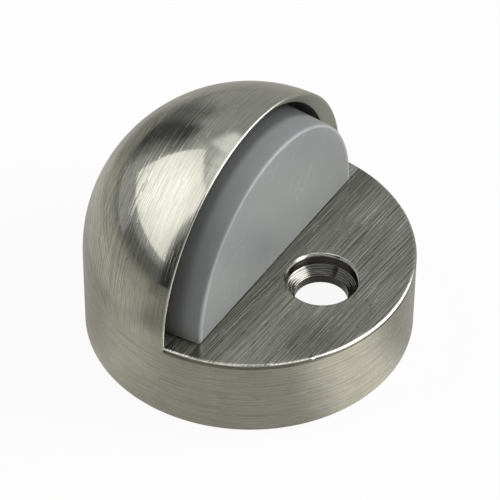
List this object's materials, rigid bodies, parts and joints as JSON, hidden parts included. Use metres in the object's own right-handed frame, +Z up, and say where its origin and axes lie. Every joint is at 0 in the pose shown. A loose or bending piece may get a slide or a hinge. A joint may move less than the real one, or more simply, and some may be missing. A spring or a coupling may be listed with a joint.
{
  "type": "dome door stop",
  "caption": "Floor door stop: half-ball metal dome over a round base, cut away to a flat ledge with a countersunk screw hole, and a D-shaped rubber bumper set in the dome's mouth.",
  "frame": {"origin": "centre of the round base, at the floor", "axes": "+Z up out of the floor; -Y towards the door, the way the bumper faces; the part is symmetric about X = 0"},
  "size_m": [0.045, 0.045, 0.0346],
  "materials": {
    "brushed_nickel": "brushed nickel plate on a casting, satin, brush lines running round the wall and along the ledge",
    "grey_rubber": "moulded mid-grey rubber, matte"
  },
  "bodies": {
    "root": {"cast_body": "brushed_nickel", "rubber_bumper": "grey_rubber"}
  },
  "joints": []
}
